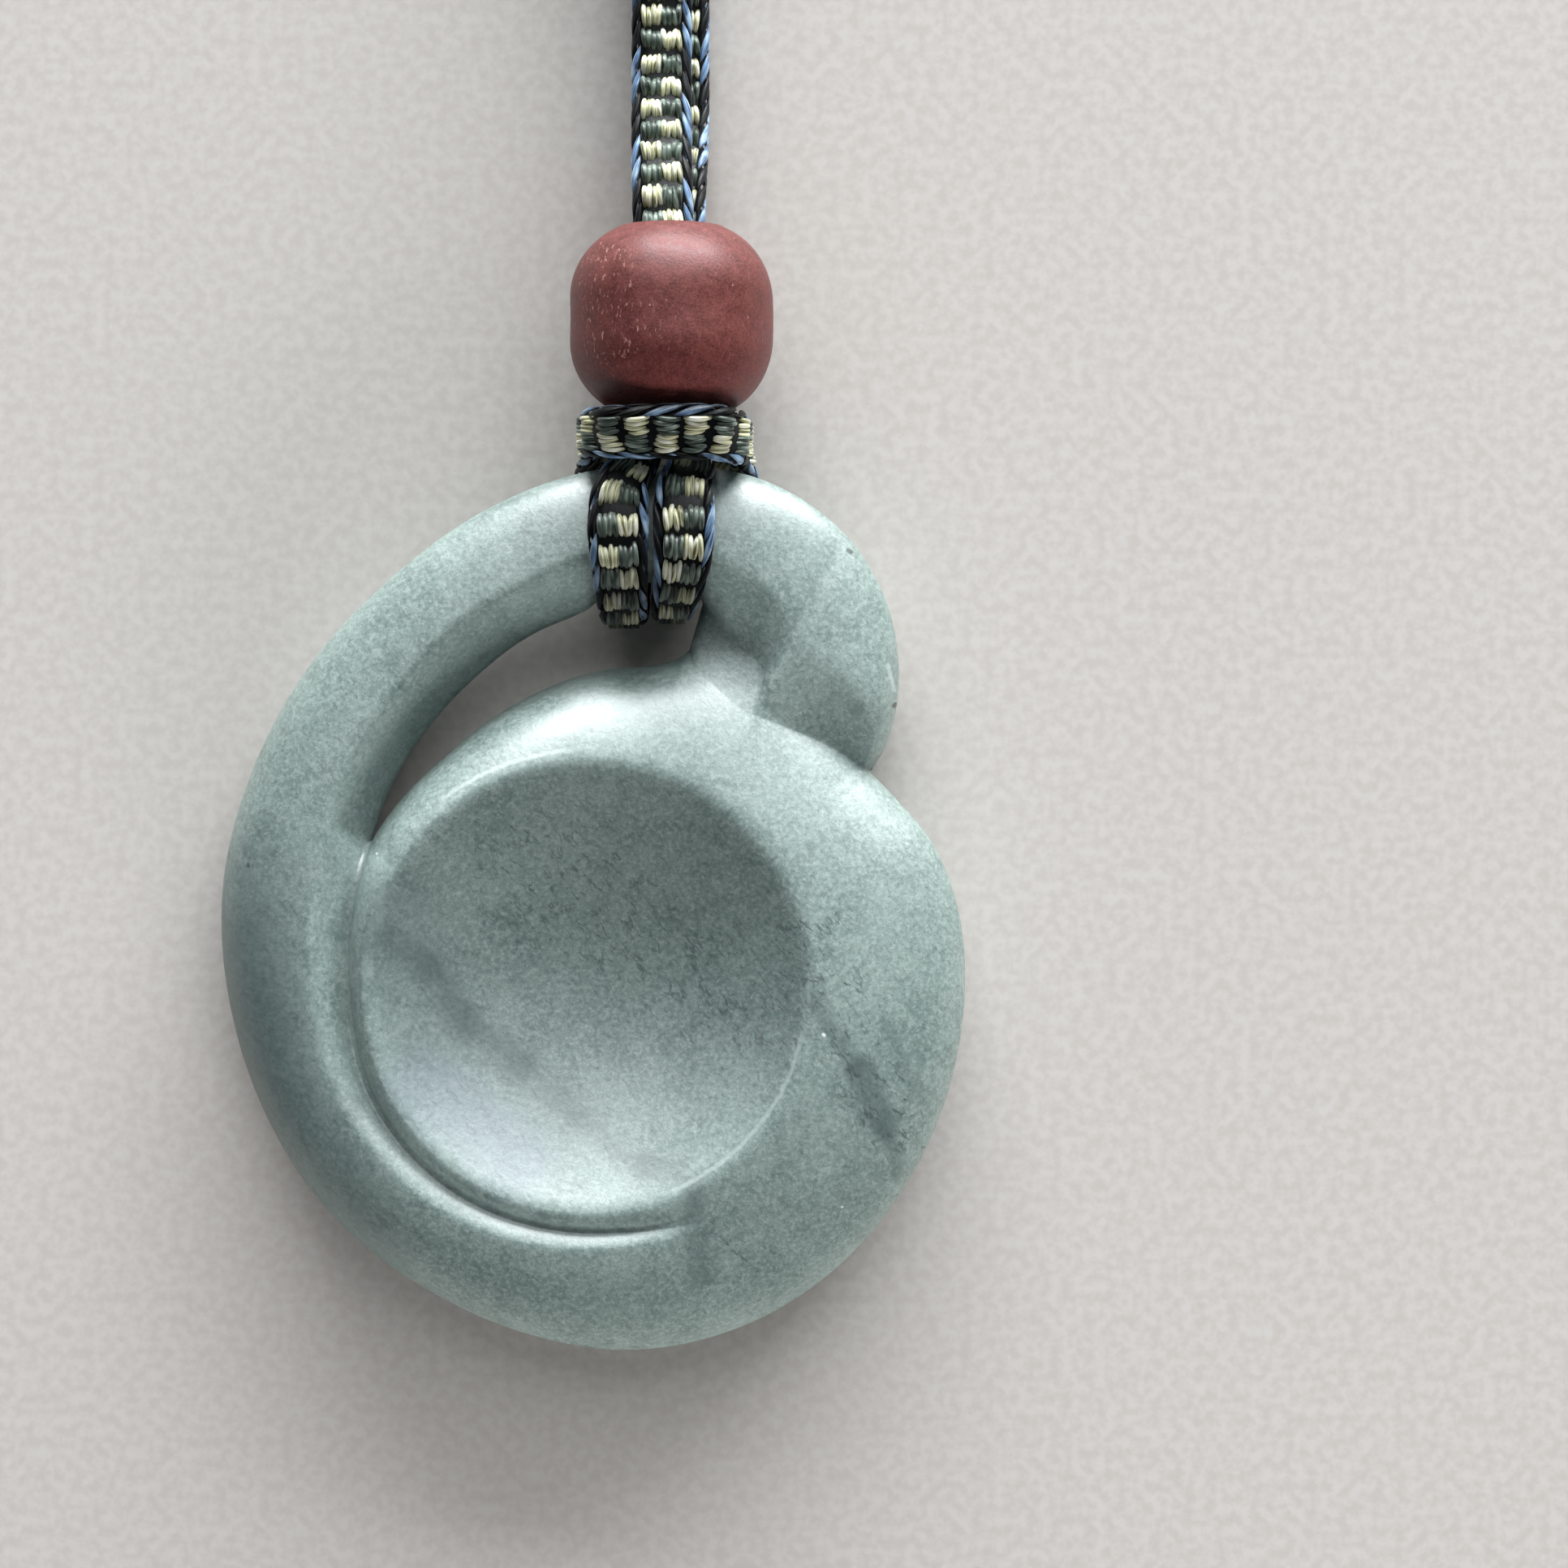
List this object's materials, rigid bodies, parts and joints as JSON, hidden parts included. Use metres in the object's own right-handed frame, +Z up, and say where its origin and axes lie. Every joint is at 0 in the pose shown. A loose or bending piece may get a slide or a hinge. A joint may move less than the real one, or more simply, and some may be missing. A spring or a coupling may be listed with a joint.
{
  "type": "jade pendant with a bead on a braided neck cord",
  "caption": "Carved jade pendant, a round dish wrapped by a ring band, hung by a cow hitch under a bead on a flat braided neck cord that closes in a plain sleeve.",
  "frame": {"origin": "on the flat back of the pendant, under the middle of the dish", "axes": "+Z up out of the dish, +Y from the dish towards the hitch and the neck cord, +X to the right as seen in the dish"},
  "size_m": [0.1494, 0.3085, 0.0119],
  "materials": {
    "jade": "satin, mottled grey-green and blue jade",
    "bead_stone": "dull brick red with fine scratches",
    "braid": "silky flat braid in cream, grey-green, light blue and black",
    "clasp_metal": "plain satin"
  },
  "bodies": {
    "root": {"jade_pendant": "jade", "bead": "bead_stone", "hitch_cord": "braid", "neck_cord_left": "braid", "neck_cord_right": "braid", "clasp": "clasp_metal"}
  },
  "joints": []
}
